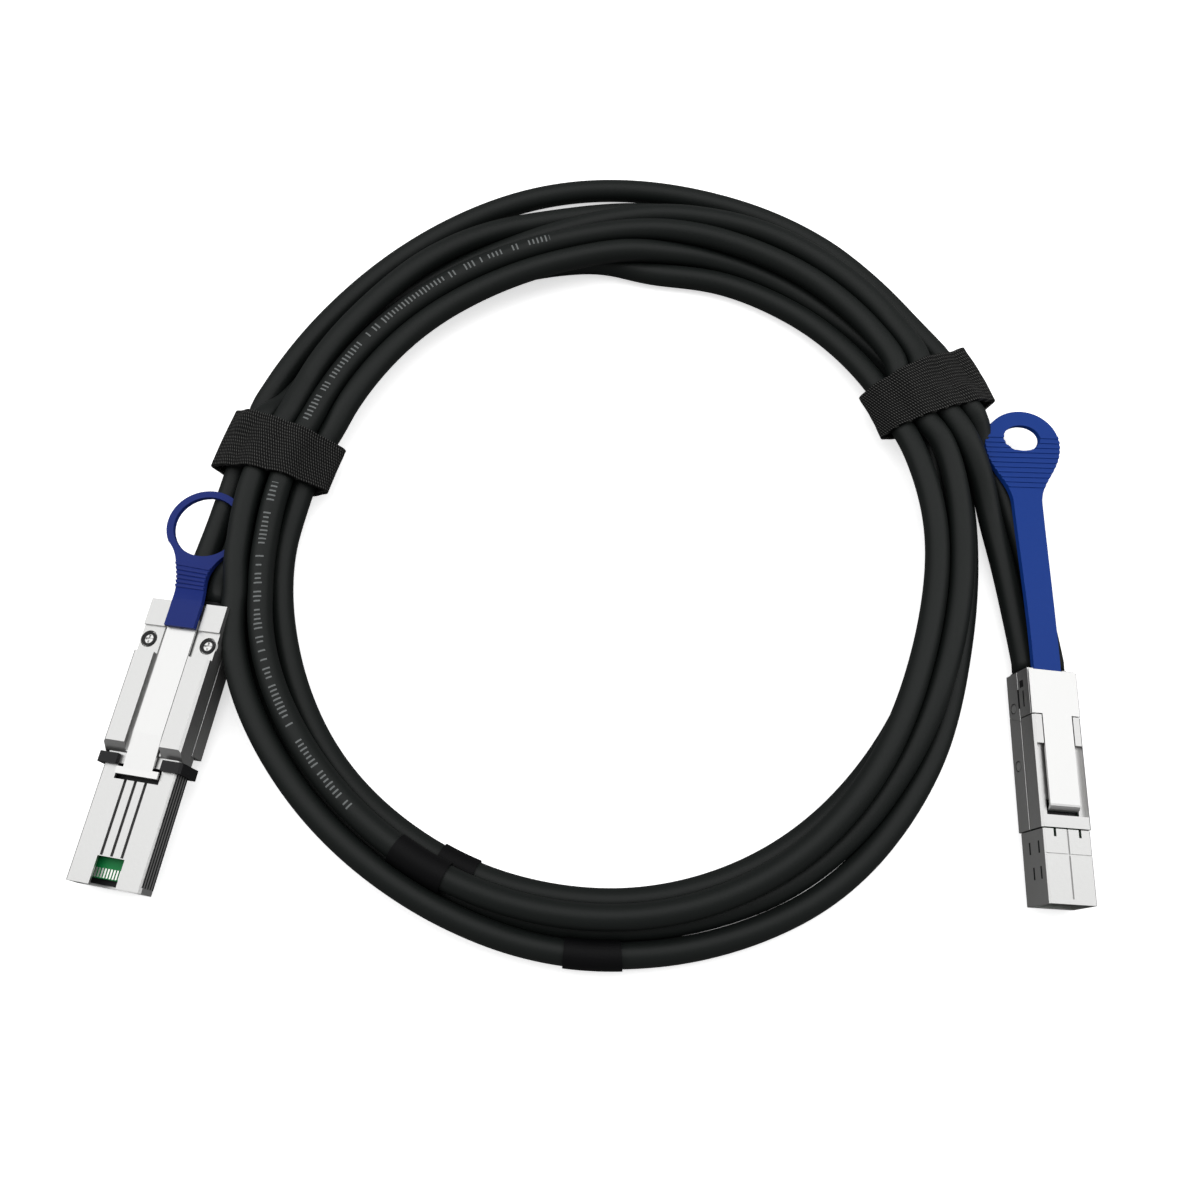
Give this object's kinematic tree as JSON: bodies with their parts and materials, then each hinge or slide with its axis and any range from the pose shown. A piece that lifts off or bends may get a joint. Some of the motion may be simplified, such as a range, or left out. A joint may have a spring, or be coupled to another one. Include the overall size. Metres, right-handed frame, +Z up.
{
  "type": "mini SAS cable",
  "caption": "Coiled external mini SAS cable: two round cables tied by straps, between a wide plug with a ring tab and a narrow plug with a long pull tab.",
  "frame": {"origin": "on the table, under the middle of the box round the two plugs", "axes": "+X from the wide plug to the narrow plug, +Y from the plugs' noses towards their pull tabs, +Z up from the table"},
  "size_m": [0.2562, 0.2326, 0.0153],
  "materials": {
    "plating": "satin nickel plating on die-cast metal",
    "spring_steel": "bright sheet steel",
    "navy_plastic": "satin dark blue",
    "blue_plastic": "satin blue",
    "jacket": "satin black jacket",
    "strap": "woven black nylon",
    "tape": "matt black",
    "board": "green solder mask",
    "insulator": "matt black"
  },
  "bodies": {
    "plugs_and_cable": {"left_bottom_shell": "plating", "left_top_shell": "plating", "left_nose_shell": "plating", "left_paddle_card": "board", "left_card_holder": "insulator", "left_gasket": "insulator", "left_overmould_block": "insulator", "left_cable_grommet": "insulator", "left_screw_1": "spring_steel", "left_screw_2": "spring_steel", "right_rear_cover": "plating", "right_top_shell": "plating", "right_bottom_shell": "plating", "right_nose_shell": "plating", "right_paddle_card_lower": "board", "right_paddle_card_upper": "board", "right_card_spacer": "insulator", "right_overmould_block": "insulator", "right_cable_grommet": "insulator", "right_side_rivet_1": "spring_steel", "right_side_rivet_2": "spring_steel", "left_cable_end_1": "jacket", "left_cable_end_2": "jacket", "right_cable_end_1": "jacket", "right_cable_end_2": "jacket", "cable_coil": "jacket", "left_tie_strap": "strap", "right_tie_strap": "strap", "tape_band_1": "tape", "tape_band_2": "tape", "tape_band_3": "tape"},
    "left_latch": {"left_latch_plate": "spring_steel", "left_pull_ring": "navy_plastic"},
    "right_latch": {"right_latch_tongue": "spring_steel", "right_pull_tab": "blue_plastic"}
  },
  "joints": [
    {"name": "left_latch_slide", "type": "slide", "parent": "plugs_and_cable", "child": "left_latch", "axis": [0.1908, 0.9816, 0], "range_m": [0, 0.0018], "stiffness_N_per_m": 1000},
    {"name": "right_latch_slide", "type": "slide", "parent": "plugs_and_cable", "child": "right_latch", "axis": [0.0332, 0.9995, 0], "range_m": [0, 0.0016], "stiffness_N_per_m": 1000}
  ]
}
